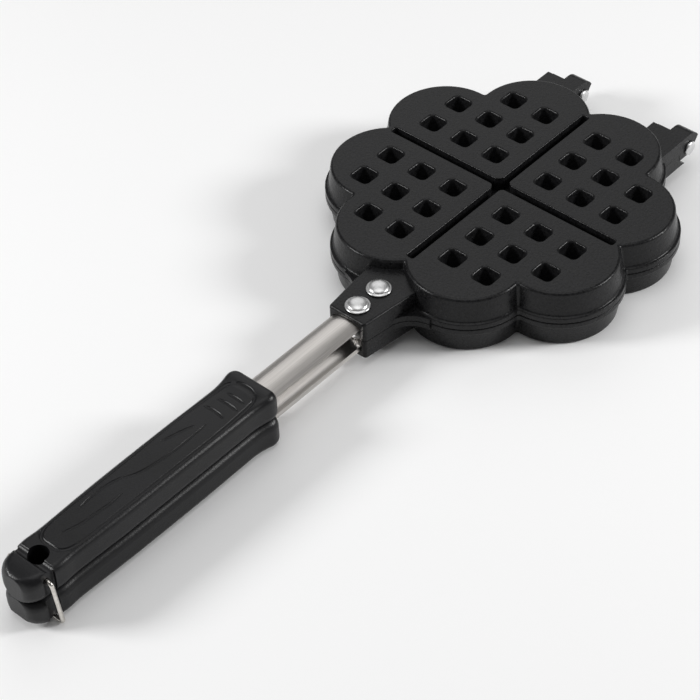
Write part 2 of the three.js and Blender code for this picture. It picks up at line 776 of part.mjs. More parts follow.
function bail() {
  const corners = [
    [-bailPivotPlace, bailStubEnd, bailPivotHeight],
    [-bailPivotPlace, bailPivotHalfWidth, bailPivotHeight],
    [-bailBarPlace, bailBarHalfWidth, -bailBarDrop],
    [-bailBarPlace, -bailBarHalfWidth, -bailBarDrop],
    [-bailPivotPlace, -bailPivotHalfWidth, bailPivotHeight],
    [-bailPivotPlace, -bailStubEnd, bailPivotHeight],
  ].map(([x, y, z]) => new THREE.Vector3(x, y, z));
  const points = [corners[0]];
  for (let i = 1; i + 1 < corners.length; i += 1) {
    const corner = corners[i];
    const before = corner.clone().add(corners[i - 1].clone().sub(corner).setLength(bailBendRadius));
    const after = corner.clone().add(corners[i + 1].clone().sub(corner).setLength(bailBendRadius));
    points.push(...new THREE.QuadraticBezierCurve3(before, corner, after).getPoints(bendSteps));
  }
  points.push(corners[corners.length - 1]);
  const crossing = corners[2].clone().sub(corners[1]).cross(corners[0].clone().sub(corners[1]));
  return wire(points, crossing.normalize());
}

// Materials

const coatedAluminium = { color: 0x343436, roughness: 0.42, metalness: 0.25 };
const stainless = { color: 0xc9c6c3, roughness: 0.3, metalness: 1 };
const brightSteel = { color: 0xdadada, roughness: 0.18, metalness: 1 };
const blackPhenolic = { color: 0x2c2c2e, roughness: 0.45, metalness: 0 };
const brass = { color: 0xb59a5a, roughness: 0.35, metalness: 1 };

function piece(name, geometry, look) {
  const mesh = new THREE.Mesh(geometry, new THREE.MeshStandardMaterial(look));
  mesh.name = name;
  return mesh;
}

function solidGeometry(shape) {
  return shape.isBufferGeometry ? shape : geometryOf(shape);
}

// Assembly

const upper = new THREE.Group();
const lower = new THREE.Group();
lower.rotation.x = Math.PI;

const casting = solidGeometry(plateCasting());
const strip = solidGeometry(handleStrip());
const halves = [['upper', upper, upperGrip()], ['lower', lower, lowerGrip()]];
for (const [side, half, ownGrip] of halves) {
  half.add(piece(`${side}_plate`, casting.clone(), coatedAluminium));
  half.add(piece(`${side}_handle_strip`, strip.clone(), stainless));
  half.add(piece(`${side}_grip`, solidGeometry(ownGrip), blackPhenolic));
  rivetPlaces.forEach((place, i) => {
    const mesh = piece(`${side}_neck_rivet_${i + 1}`, rivet(), brightSteel);
    mesh.position.x = -place;
    half.add(mesh);
  });
  screwPlaces.forEach((place, i) => {
    const screw = piece(`${side}_grip_screw_${i + 1}`, gripScrew(), stainless);
    screw.position.x = -place;
    const insert = piece(`${side}_grip_insert_${i + 1}`, solidGeometry(screwInsert()), brass);
    insert.position.x = -place;
    half.add(screw, insert);
  });
}

upper.add(piece('wire_bail', bail(), brightSteel));

const pins = [['left_hinge_pin', hingeOffset], ['right_hinge_pin', -hingeOffset]];
const pinGroup = new THREE.Group();
for (const [name, middle] of pins) {
  const pin = piece(name, hingePin(), brightSteel);
  pin.position.set(hingeAxisReach, middle, 0);
  pinGroup.add(pin);
}

const waffleIron = new THREE.Group();
waffleIron.add(upper, lower, pinGroup);
const hingeEnd = hingeAxisReach + knuckleRadius * Math.cos(knuckleTipAngle);
waffleIron.position.set((gripBack - hingeEnd) / 2, 0, plateHeight);

export default waffleIron;
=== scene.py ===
"""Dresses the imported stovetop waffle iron: castings, grips, strips, rivets, pins and bail.

Lengths are in millimetres in the code and become metres when a piece is finished. Each half is shaped
over the parting plane of the two plates, with the plate's centre at the origin, its handle towards -X
and its hinge towards +X, and is then put in its place.
"""

import json
import math

import bmesh
import bpy
from mathutils import Matrix, Vector

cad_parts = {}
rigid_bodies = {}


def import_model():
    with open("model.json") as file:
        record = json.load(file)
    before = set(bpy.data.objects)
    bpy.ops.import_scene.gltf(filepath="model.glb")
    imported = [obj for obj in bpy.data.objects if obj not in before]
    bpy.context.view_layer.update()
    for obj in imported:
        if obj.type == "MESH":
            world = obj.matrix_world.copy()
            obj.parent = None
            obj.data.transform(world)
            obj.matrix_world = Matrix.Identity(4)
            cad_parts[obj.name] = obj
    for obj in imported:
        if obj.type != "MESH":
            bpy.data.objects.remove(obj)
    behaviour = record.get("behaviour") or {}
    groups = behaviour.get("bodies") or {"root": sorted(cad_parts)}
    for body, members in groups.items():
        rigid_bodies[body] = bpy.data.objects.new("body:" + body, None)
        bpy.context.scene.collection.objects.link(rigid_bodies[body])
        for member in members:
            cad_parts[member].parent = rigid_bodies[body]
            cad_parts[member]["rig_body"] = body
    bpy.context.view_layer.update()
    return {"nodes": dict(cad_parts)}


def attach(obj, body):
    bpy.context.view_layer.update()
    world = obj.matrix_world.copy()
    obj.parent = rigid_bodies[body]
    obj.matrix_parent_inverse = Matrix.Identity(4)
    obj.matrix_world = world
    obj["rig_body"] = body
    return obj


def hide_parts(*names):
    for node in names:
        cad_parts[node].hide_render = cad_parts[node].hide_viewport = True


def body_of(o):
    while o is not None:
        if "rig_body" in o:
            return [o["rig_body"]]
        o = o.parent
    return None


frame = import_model()

MM = 0.001
PLATE_SHIFT = 98.66
PARTING = 14.4
UPPER = Matrix.Translation((PLATE_SHIFT, 0, PARTING))
LOWER = UPPER @ Matrix.Rotation(math.pi, 4, "X")
Z_AXIS = (0, 0, 1)
QUARTER_TURN = Matrix.Rotation(math.pi / 2, 3, "Z")
SEAT_GAP = 0.3  # room between pieces that fit into each other, half of it on each side of the parting plane
OVERCUT = 2.0  # how far a cutting tool reaches past the surface it opens
NUDGE = 0.013  # keeps faces of joined solids from lying in one plane, which the boolean can't part cleanly
TOUCH = 1e-4  # points closer than this are one
NEAR = 1e-3  # a point this close to a plane lies in it
THROUGH = 20.0  # how far to each side a tool reaches that crosses a whole grip

# Plate casting
LOBES = 8
TURN = 2 * math.pi / LOBES
LOBE_REACH = 51.8
LOBE_RADIUS = 26.2
PLATE_HEIGHT = 14.4
VALLEY_FILLET = 1.3
FLANGE_OUT = 3.0
FLANGE_THICK = 2.9
FLANGE_FOOT_ROUND = 0.4
FLANGE_TOP_ROUND = 0.5
FACET_SAG = 0.22  # draws the flange in, so that it stays inside the solids' box at every facet
WALL_DRAFT = 1.3
WALL_FILLET = 1.0
TOP_ROUND = 1.5
SKIN = 3.2
SIDE_WALL = 4.0
CAVITY_DRAFT = 0.9
CAVITY_FILLET = 1.2

# Waffle pattern
CELL_PITCH = 18.0
FIRST_CELL = 14.8
PIT_SIDE = 9.35
PIT_FLOOR_SIDE = 6.2
PIT_DEPTH = 9.0
PIT_CORNER = 2.4
PIT_FOOT_ROUND = 0.8
PIT_LIP = 0.95
STUD_BASE = 12.4
STUD_TIP = 8.6
STUD_CLEAR = 3.0
STUD_CORNER = 2.2
STUD_ROUND = 0.7
GROOVE_REACH = 62.0
GROOVE_WIDTH = 3.6
GROOVE_FLOOR = 2.6
GROOVE_DEPTH = 7.4
GROOVE_CORNER = 0.48 * GROOVE_FLOOR
GROOVE_LIP = 0.6
HEART_CORNER = 3.6
RIDGE_TIP = 4.4
RIDGE_BASE = 8.2
RIDGE_CLEAR = 1.0
RIDGE_ROUND = 0.8

# Hinges
HINGE_AXIS = 88.0
HINGE_OFFSET = 30.3
HINGE_WIDTH = 18.4
HINGE_ROUND = 0.8
HOLLOW_SHARE = 0.94  # how far up the block the hollow for the other half's knuckle goes
KNUCKLE_RADIUS = 7.49
KNUCKLE_TRIM = 3.7
KNUCKLE_BEVEL = 3.3
KNUCKLE_TURN = math.radians(36.9)
ARM_ROOT = 62.0
PIN_RADIUS = 2.0
PIN_HEAD = (3.4, 1.6)  # radius and height
PIN_PEEN = (2.9, 1.0)

# Neck
NECK_FRONT = 103.0
NECK_ROOT = 60.0
NECK_SHOULDER = 76.6
NECK_FRONT_HALF = 10.0
NECK_SHOULDER_HALF = 13.4
NECK_HEIGHT = 9.9
NECK_ROUND = 1.2
NECK_CORNER = 1.4
GUSSET_START = 92.0
GUSSET_REACH = 77.4
GUSSET_HALF = 23.8
GUSSET_SINK = 0.3  # starts the sweep inside the neck's side, so that the two don't graze
GUSSET_BEND = 0.8  # where the sweep turns, as a share of its length, and by how much it swells there

# Handle strip
STRIP_WIDTH = 15.0
STRIP_THICK = 1.5
STRIP_ARCH = 2.1
STRIP_CROWN = 7.9
STRIP_FRONT = 77.0
STRIP_BACK = 267.0
STRIP_RADIUS = (STRIP_WIDTH**2 / 4 + STRIP_ARCH**2) / 2 / STRIP_ARCH

# Rivets in the neck, and the screws that hold the strip to its grip
RIVETS = (82.1, 95.7)
RIVET_SHANK = 2.4
RIVET_HEAD = (5.5, 2.5)
RIVET_BRIM = 0.62
RIVET_CROWN = 0.84  # the crown's radius as a share of the head's
RIVET_TAIL = (3.6, 1.4)
SCREWS = (178, 252)
SCREW_HOLE = 2.3
INSERT_ROOM = (3.5, 4.8)  # radius and height of the pocket for the threaded insert

# Grips
GRIP_FRONT = 157.5
GRIP_BACK = 292.0
GRIP_LENGTH = GRIP_BACK - GRIP_FRONT
GRIP_HALF = 12.6
GRIP_HEIGHT = 14.25
GRIP_OUTER_ROUND = 3.2
GRIP_INNER_ROUND = 4.2
GRIP_ROUND_LIMIT = 0.85  # no rounding is larger than this share of the half width
# Share of the length, and of the half width and height there
GRIP_SHARES = (
    (0, 0.84, 0.865), (0.004, 0.905, 0.92), (0.01, 0.955, 0.965), (0.02, 0.99, 0.995), (0.035, 1, 1),
    (0.062, 0.95, 0.97), (0.1, 0.905, 0.95), (0.17, 0.9, 0.955), (0.3, 0.905, 0.97), (0.43, 0.9, 0.975),
    (0.56, 0.895, 0.97), (0.66, 0.88, 0.965), (0.75, 0.85, 0.96), (0.83, 0.83, 0.96), (0.88, 0.86, 0.96),
    (0.91, 0.83, 0.96), (0.94, 0.825, 0.955), (0.962, 0.791, 0.945), (0.976, 0.728, 0.927),
    (0.986, 0.651, 0.905), (0.991, 0.596, 0.889), (0.995, 0.534, 0.871), (0.998, 0.464, 0.851),
    (0.9993, 0.414, 0.836), (1, 0.34, 0.815),
)
END_ROUND = 5.5
END_ROUND_FROM = 0.9
HANG_HOLE = (278.0, 4.4)  # place and radius
SADDLE = (280.8, 2.3, 1.5)  # place, radius and depth
SADDLE_LIP = 1.1
SADDLE_LIFT = 0.03  # keeps the lips' tops off the broad face, so that the two don't graze
WIRE_CHANNEL = (279.4, 6.0, 1.6)  # front, length and depth
WIRE_CHANNEL_ROUND = 0.5
CATCH = 279.9  # where the step under the lower grip's end begins, which holds the bail

# Bail
WIRE = 1.0
BAIL_PIVOT = (283.0, 11.6, 9.2)
BAIL_BAR = (281.6, 13.0, -13.1)
BAIL_STUB_END = 6.4
BAIL_BEND = 1.8

# Lines moulded into the grips' broad faces, with the width and depth of their grooves
PANEL_SIDE = ((-163.3, 1.6), (-164.3, 4.6), (-167.4, 7.4), (-175, 8.3), (-186, 8.9), (-197, 9.1),
              (-222, 8.9), (-244, 8.7), (-260, 8.5), (-266.8, 7.9), (-270.6, 6.2), (-272.2, 3.2))
PANEL_GROOVE = (2.1, 0.6)
LIP_HOLLOW = ((-167.2, -7.4), (-165.2, -5.2), (-164.5, 0), (-165.2, 5.2), (-167.2, 7.4))
LIP_GROOVE = (3.6, 0.7)
THUMB_LINES = (
    ((-170.6, -5.4), (-170.2, -1.0), (-170.4, 3.8)),
    ((-175.4, -6.4), (-174.8, -1.0), (-175.2, 4.6)),
    ((-181.9, -4.8), (-181.0, 0.6), (-181.6, 6.0)),
)
THUMB_GROOVE = (1.9, 0.62)
WAVE_LINES = (
    ((-188.7, -1.8), (-198, -2.1), (-208.5, -2.1), (-219.3, -0.9), (-225.5, 0.6), (-231.3, 3.7)),
    ((-192, 1.3), (-200.1, 3.7), (-207.3, 5.3)),
    ((-229.5, 3.4), (-236.2, 4.9), (-244.1, 5.5), (-251.8, 4.8)),
    ((-236.0, -2.6), (-243.0, -2.8), (-249.1, -2.2), (-256.9, -1.6), (-265.8, 0.9)),
)
WAVE_GROOVE = (1.5, 0.5)


# Mesh helpers

def drawn_arc(bm, centre, start, angle, steps):
    """Sweeps one point about a centre, as a compass does, and returns the new points in order."""
    first = bm.verts.new(start)
    known = set(bm.verts)
    bmesh.ops.spin(bm, geom=[first], cent=centre, axis=Z_AXIS, angle=angle, steps=steps,
                   use_duplicate=False)
    return [first] + [v for v in bm.verts if v not in known]


def face_of(bm, points):
    return bm.faces.new([bm.verts.new(p) for p in points])


def push(bm, faces, move):
    """Extrudes faces by a vector and returns the faces and points that end up at the front."""
    lone = all(len(e.link_faces) == 1 for f in faces for e in f.edges)
    grown = bmesh.ops.extrude_face_region(bm, geom=list(faces))
    verts = [g for g in grown["geom"] if isinstance(g, bmesh.types.BMVert)]
    bmesh.ops.translate(bm, verts=verts, vec=move)
    if not lone:
        bmesh.ops.delete(bm, geom=[f for f in faces if f.is_valid], context="FACES_ONLY")
    return [g for g in grown["geom"] if isinstance(g, bmesh.types.BMFace)], verts


def prism(bm, points, move):
    push(bm, [face_of(bm, points)], move)


def rounded(bm, edges, radius, segments):
    edges = list(edges)
    if edges:
        bmesh.ops.bevel(bm, geom=edges, offset=radius, offset_type="OFFSET", segments=segments,
                        profile=0.5, affect="EDGES", clamp_overlap=True, material=-1)


def closed(bm):
    """Welds a solid's seams and turns all its faces outwards."""
    bmesh.ops.remove_doubles(bm, verts=bm.verts, dist=TOUCH)
    bmesh.ops.recalc_face_normals(bm, faces=bm.faces)
    if bm.calc_volume(signed=True) < 0:
        bmesh.ops.reverse_faces(bm, faces=bm.faces)


def as_object(bm, name):
    mesh = bpy.data.meshes.new(name)
    bm.to_mesh(mesh)
    bm.free()
    obj = bpy.data.objects.new(name, mesh)
    bpy.context.scene.collection.objects.link(obj)
    return obj


def cut(target, tool, operation="DIFFERENCE"):
    """Applies a boolean of one closed solid on another and throws the tool away."""
    step = target.modifiers.new("cut", "BOOLEAN")
    step.operation = operation
    step.solver = "MANIFOLD"
    step.object = tool
    bpy.context.view_layer.update()
    depsgraph = bpy.context.evaluated_depsgraph_get()
    shaped = bpy.data.meshes.new_from_object(target.evaluated_get(depsgraph))
    target.modifiers.clear()
    target.data = shaped
    bpy.data.objects.remove(tool)
    return target


def finished(obj, name, place, body, nodes, material, smooth_angle=35):
    """Puts a piece in its place in metres, shades it, ties it to its body and finish, and hides the nodes
    that it stands in for.
    """
    bm = bmesh.new()
    bm.from_mesh(obj.data)
    bmesh.ops.remove_doubles(bm, verts=bm.verts, dist=TOUCH)
    bmesh.ops.transform(bm, matrix=Matrix.Scale(MM, 4) @ place, verts=bm.verts)
    limit = math.radians(smooth_angle)
    for face in bm.faces:
        face.smooth = True
    for edge in bm.edges:
        edge.smooth = len(edge.link_faces) == 2 and edge.calc_face_angle(0) < limit
    mesh = bpy.data.meshes.new(name)
    bm.to_mesh(mesh)
    bm.free()
    mesh.materials.clear()
    mesh.materials.append(material)
    piece = bpy.data.objects.new(name, mesh)
    bpy.context.scene.collection.objects.link(piece)
    weighted = piece.modifiers.new("even shading", "WEIGHTED_NORMAL")
    weighted.keep_sharp = True
    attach(piece, body)
    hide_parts(*nodes)


# Plate casting

def polar(radius, angle, height=0.0):
    return Vector((radius * math.cos(angle), radius * math.sin(angle), height))


def valley(offset):
    """How far out a valley's arc is centred, and how far a lobe's arc turns, on a grown outline."""
    joined = LOBE_RADIUS + offset + VALLEY_FILLET
    aside = LOBE_REACH * math.sin(TURN / 2)
    reach = LOBE_REACH * math.cos(TURN / 2) + math.sqrt(joined**2 - aside**2)
    return reach, math.atan2(reach * math.sin(TURN / 2), reach * math.cos(TURN / 2) - LOBE_REACH)


def lobed_loop(bm, offset, height, lobe_steps=22, valley_steps=6):
    """Draws the closed outline of the eight-lobed plate, grown outwards by the offset."""
    reach, sweep = valley(offset)
    lobe = polar(LOBE_REACH, TURN / 2, height)
    drawn = drawn_arc(bm, lobe, lobe + polar(LOBE_RADIUS + offset, TURN / 2 - sweep), 2 * sweep, lobe_steps)
    touch = lobe + polar(LOBE_RADIUS + offset, TURN / 2 + sweep)
    drawn += drawn_arc(bm, polar(reach, TURN, height), touch, TURN - 2 * sweep, valley_steps)
    edges = list({e for v in drawn for e in v.link_edges})
    bmesh.ops.spin(bm, geom=drawn + edges, cent=(0, 0, 0), axis=Z_AXIS, angle=2 * math.pi - TURN,
                   steps=LOBES - 1, use_duplicate=True)
    bmesh.ops.remove_doubles(bm, verts=bm.verts, dist=NEAR)
    return list(bm.edges)


def half_turn(angle):
    return (angle + math.pi) % (2 * math.pi) - math.pi


def regrown(place, offset, next_offset):
    """Moves a point of the outline to the same spot on an outline of another size."""
    reach, sweep = valley(offset)
    next_reach, next_sweep = valley(next_offset)
    at = math.atan2(place.y, place.x)
    middle = (math.floor(at / TURN) + 0.5) * TURN
    lobe = polar(LOBE_REACH, middle, place.z)
    spoke = place - lobe
    turned_by = half_turn(math.atan2(spoke.y, spoke.x) - middle)
    if abs(turned_by) <= sweep + 1e-4:
        return lobe + polar(LOBE_RADIUS + next_offset, middle + turned_by * next_sweep / sweep)
    seam = round(at / TURN) * TURN
    spoke = place - polar(reach, seam, place.z)
    turned_by = half_turn(math.atan2(spoke.y, spoke.x) - seam - math.pi)
    growth = (next_sweep - TURN / 2) / (sweep - TURN / 2)
    return polar(next_reach, seam, place.z) + polar(VALLEY_FILLET, seam + math.pi + turned_by * growth)


def lobed_solid(profile, name):
    """Extrudes the outline up a profile of (offset, height), as wall, ledge and rounded edge."""
    bm = bmesh.new()
    edges = lobed_loop(bm, *profile[0])
    bmesh.ops.edgeloop_fill(bm, edges=edges)
    for (offset, height), (next_offset, next_height) in zip(profile, profile[1:]):
        grown = bmesh.ops.extrude_edge_only(bm, edges=edges)["geom"]
        fresh = {g for g in grown if isinstance(g, bmesh.types.BMVert)}
        edges = [g for g in grown if isinstance(g, bmesh.types.BMEdge) and fresh.issuperset(g.verts)]
        for v in fresh:
            v.co = regrown(v.co, offset, next_offset)
            v.co.z += next_height - height
    bmesh.ops.edgeloop_fill(bm, edges=edges)
    closed(bm)
    return as_object(bm, name)


def bridged(bm, loops):
    """Joins outlines one after another into a closed skin."""
    for low, high in zip(loops, loops[1:]):
        bmesh.ops.bridge_loops(bm, edges=low + high)
    bmesh.ops.edgeloop_fill(bm, edges=loops[0])
    bmesh.ops.edgeloop_fill(bm, edges=loops[-1])
    closed(bm)


def round_steps(count):
    """Angles of a quarter turn, for drawing rounded edges."""
    return [i / count * math.pi / 2 for i in range(count + 1)]


def plate_body():
    rim = FLANGE_OUT - FACET_SAG
    edge = FLANGE_FOOT_ROUND
    profile = [(rim - edge * (1 - math.sin(a)), SEAT_GAP / 2 + edge * (1 - math.cos(a)))
               for a in round_steps(3)]
    edge = FLANGE_TOP_ROUND
    profile += [(rim - edge * (1 - math.cos(a)), FLANGE_THICK - edge * (1 - math.sin(a)))
                for a in round_steps(3)]
    profile += [(WALL_DRAFT + WALL_FILLET * (1 - math.sin(a)), FLANGE_THICK + WALL_FILLET * (1 - math.cos(a)))
                for a in round_steps(3)]
    profile += [(-TOP_ROUND * (1 - math.cos(a)), PLATE_HEIGHT - TOP_ROUND * (1 - math.sin(a)))
                for a in round_steps(5)]
    return lobed_solid(profile, "plate body")


def cell_places():
    reach = [FIRST_CELL + i * CELL_PITCH for i in range(3)]
    return [(sx * x, sy * y) for x in reach for y in reach if x != reach[-1] or y != reach[-1]
            for sx in (1, -1) for sy in (1, -1)]


def tapered_block(bm, low, high, corner, bottom, top, foot_round=0.0, lip=0.0):
    """A four-sided taper with round corners; a lip widens its mouth as a rounded edge does."""
    made = bmesh.ops.create_cube(bm, size=1)["verts"]
    for v in made:
        side = low if v.co.z < 0 else high
        v.co = Vector((math.copysign(side[0] / 2, v.co.x), math.copysign(side[1] / 2, v.co.y),
                       bottom if v.co.z < 0 else top))
    upright = [e for e in {e for v in made for e in v.link_edges}
               if abs(e.verts[0].co.z - e.verts[1].co.z) > (top - bottom) / 2]
    rounded(bm, upright, corner, 4)
    if foot_round:
        bm.normal_update()
        foot = [e for e in bm.edges if all(abs(v.co.z - bottom) < TOUCH for v in e.verts)
                and sum(abs(f.normal.z) > 0.9 for f in e.link_faces) == 1]
        rounded(bm, foot, foot_round, 3)
    if lip:
        bm.normal_update()
        mouth = max((f for f in bm.faces if f.normal.z > 0.9), key=lambda f: f.calc_center_median().z)
        faces = [mouth]
        grown = 0.0
        risen = 0.0
        for a in round_steps(3)[1:]:
            rise = lip * math.sin(a) - risen
            risen += rise
            wide = lip * (1 - math.cos(a)) - grown
            grown += wide
            faces, verts = push(bm, faces, (0, 0, rise))
            for v in verts:
                v.co.x += math.copysign(wide, v.co.x)
                v.co.y += math.copysign(wide, v.co.y)
        push(bm, faces, (0, 0, 1))


def repeated(bm, places):
    """Copies what is drawn to every place and removes the original."""
    source = list(bm.verts) + list(bm.edges) + list(bm.faces)
    originals = list(bm.verts)
    for x, y in places:
        made = bmesh.ops.duplicate(bm, geom=source)["geom"]
        copied = [g for g in made if isinstance(g, bmesh.types.BMVert)]
        bmesh.ops.translate(bm, verts=copied, vec=(x, y, 0))
    bmesh.ops.delete(bm, geom=originals, context="VERTS")


def pits():
    bm = bmesh.new()
    tapered_block(bm, (PIT_FLOOR_SIDE,) * 2, (PIT_SIDE,) * 2, PIT_CORNER, PLATE_HEIGHT - PIT_DEPTH,
                  PLATE_HEIGHT - PIT_LIP, foot_round=PIT_FOOT_ROUND, lip=PIT_LIP)
    repeated(bm, cell_places())
    closed(bm)
    return as_object(bm, "pits")


def groove(turned):
    bm = bmesh.new()
    tapered_block(bm, (2 * GROOVE_REACH - 1, GROOVE_FLOOR), (2 * GROOVE_REACH, GROOVE_WIDTH),
                  GROOVE_CORNER, PLATE_HEIGHT - GROOVE_DEPTH, PLATE_HEIGHT - GROOVE_LIP, lip=GROOVE_LIP)
    if turned:
        bmesh.ops.rotate(bm, verts=bm.verts, cent=(0, 0, 0), matrix=QUARTER_TURN)
    closed(bm)
    return as_object(bm, "groove")


def heart_tips():
    """The widened crossing of the grooves, which leaves the tips of the four hearts round."""
    bm = bmesh.new()
    half = GROOVE_WIDTH / 2
    centre = half + HEART_CORNER
    drawn_arc(bm, (centre, centre, 0), (centre, half, 0), -math.pi / 2, 5)
    bmesh.ops.spin(bm, geom=list(bm.verts) + list(bm.edges), cent=(0, 0, 0), axis=Z_AXIS,
                   angle=1.5 * math.pi, steps=3, use_duplicate=True)
    corners = [v for v in bm.verts if len(v.link_edges) == 1]
    corners.sort(key=lambda v: math.atan2(v.co.y, v.co.x))
    for a, b in zip(corners, corners[1:] + corners[:1]):
        if (a.co - b.co).length < GROOVE_WIDTH + 0.5:
            bm.edges.new((a, b))
    bmesh.ops.edgeloop_fill(bm, edges=bm.edges)
    bmesh.ops.translate(bm, verts=bm.verts, vec=(0, 0, PLATE_HEIGHT - GROOVE_DEPTH))
    push(bm, list(bm.faces), (0, 0, GROOVE_DEPTH + 1))
    closed(bm)
    return as_object(bm, "heart tips")


def ridge(turned):
    """One of the two crossing ridges inside, under the grooves, that part the four hearts."""
    bm = bmesh.new()
    ceiling = PLATE_HEIGHT - SKIN
    growth = (RIDGE_BASE - RIDGE_TIP) / 2 / (ceiling - RIDGE_CLEAR)
    top_half = RIDGE_BASE / 2 + growth * SKIN
    reach = LOBE_REACH + LOBE_RADIUS
    low = RIDGE_TIP / 2
    prism(bm, [(-reach, -low, RIDGE_CLEAR), (-reach, low, RIDGE_CLEAR), (-reach, top_half, PLATE_HEIGHT),
               (-reach, -top_half, PLATE_HEIGHT)], (2 * reach, 0, 0))
    closed(bm)
    tips = [e for e in bm.edges if all(abs(v.co.z - RIDGE_CLEAR) < NEAR for v in e.verts)
            and abs(e.verts[0].co.x - e.verts[1].co.x) > reach]
    rounded(bm, tips, RIDGE_ROUND, 3)
    if turned:
        bmesh.ops.rotate(bm, verts=bm.verts, cent=(0, 0, 0), matrix=QUARTER_TURN)
    closed(bm)
    return as_object(bm, "ridge")


def studs():
    bm = bmesh.new()
    tapered_block(bm, (STUD_TIP,) * 2, (STUD_BASE,) * 2, STUD_CORNER, STUD_CLEAR,
                  PLATE_HEIGHT - SKIN + 1, foot_round=STUD_ROUND)
    repeated(bm, cell_places())
    closed(bm)
    return as_object(bm, "studs")


def cavity():
    """The room inside a plate, around its ridges and studs."""
    ceiling = PLATE_HEIGHT - SKIN
    side = -SIDE_WALL - CAVITY_DRAFT
    slope = CAVITY_DRAFT / ceiling
    fillet = CAVITY_FILLET
    profile = [(slope * OVERCUT - SIDE_WALL, -OVERCUT), (side, ceiling - fillet)]
    profile += [(side - fillet * (1 - math.cos(a)), ceiling - fillet * (1 - math.sin(a)))
                for a in round_steps(3)[1:]]
    solid = lobed_solid(profile, "cavity")
    for tool in (ridge(False), ridge(True), studs()):
        cut(solid, tool)
    return solid


def neck():
    bm = bmesh.new()
    foot = SEAT_GAP / 2 + NUDGE
    side = [(-NECK_FRONT, NECK_FRONT_HALF), (-NECK_SHOULDER, NECK_SHOULDER_HALF),
            (-NECK_ROOT, NECK_SHOULDER_HALF)]
    outline = [(x, -y) for x, y in side] + side[::-1]
    prism(bm, [(x, y, foot) for x, y in outline], (0, 0, NECK_HEIGHT - foot))
    closed(bm)
    posts = [e for e in bm.edges if abs(e.verts[0].co.z - e.verts[1].co.z) > 1
             and e.verts[0].co.x < -NECK_FRONT + 1]
    rounded(bm, posts, NECK_CORNER, 4)
    bm.normal_update()
    top = [e for e in bm.edges if all(v.co.z > NECK_HEIGHT - NEAR for v in e.verts)
           and max(v.co.x for v in e.verts) < -NECK_ROOT - 1]
    rounded(bm, top, NECK_ROUND, 4)
    closed(bm)
    return as_object(bm, "neck")


def gusset():
    """The flange sweeps out of the neck's sides to meet the lobes."""
    bm = bmesh.new()
    taper = (NECK_SHOULDER_HALF - NECK_FRONT_HALF) / (NECK_FRONT - NECK_SHOULDER)
    start = NECK_FRONT_HALF + taper * (NECK_FRONT - GUSSET_START) - GUSSET_SINK
    bend = -GUSSET_START + (GUSSET_START - NECK_SHOULDER) * GUSSET_BEND
    side = []
    for i in range(13):
        t = i / 12
        x = (1 - t) ** 2 * -GUSSET_START + 2 * t * (1 - t) * bend + t**2 * -GUSSET_REACH
        y = (1 - t) ** 2 * start + 2 * t * (1 - t) * (start + GUSSET_BEND) + t**2 * GUSSET_HALF
        side.append((x, y))
    side.append((-NECK_ROOT, GUSSET_HALF))
    outline = [(x, -y) for x, y in side] + side[::-1]
    foot = SEAT_GAP / 2 + 2 * NUDGE
    prism(bm, [(x, y, foot) for x, y in outline], (0, 0, FLANGE_THICK - NUDGE - foot))
    closed(bm)
    return as_object(bm, "gusset")


def strip_outline(x, crown, half, thick, foot=None):
    """Points of the arched strip's section, or of the room for it where a foot is given."""
    outer = STRIP_RADIUS + crown - STRIP_CROWN
    centre = STRIP_CROWN - STRIP_RADIUS
    edge = math.asin(half / outer)
    steps = 16
    turns = [edge - 2 * edge * i / steps for i in range(steps + 1)]
    points = [(x, outer * math.sin(a), centre + outer * math.cos(a)) for a in turns]
    if foot is None:
        inner = outer - thick
        return points + [(x, inner * math.sin(a), centre + inner * math.cos(a)) for a in reversed(turns)]
    return points + [(x, -half, foot), (x, half, foot)]


def strip_room(low, high):
    bm = bmesh.new()
    room = strip_outline(low, STRIP_CROWN + SEAT_GAP, STRIP_WIDTH / 2 + SEAT_GAP, 0, -OVERCUT)
    prism(bm, room, (high - low, 0, 0))
    closed(bm)
    return as_object(bm, "strip room")


def arc_points(radius, start, end, steps):
    turns = [start + (end - start) * i / steps for i in range(steps + 1)]
    return [(radius * math.cos(a), radius * math.sin(a)) for a in turns]


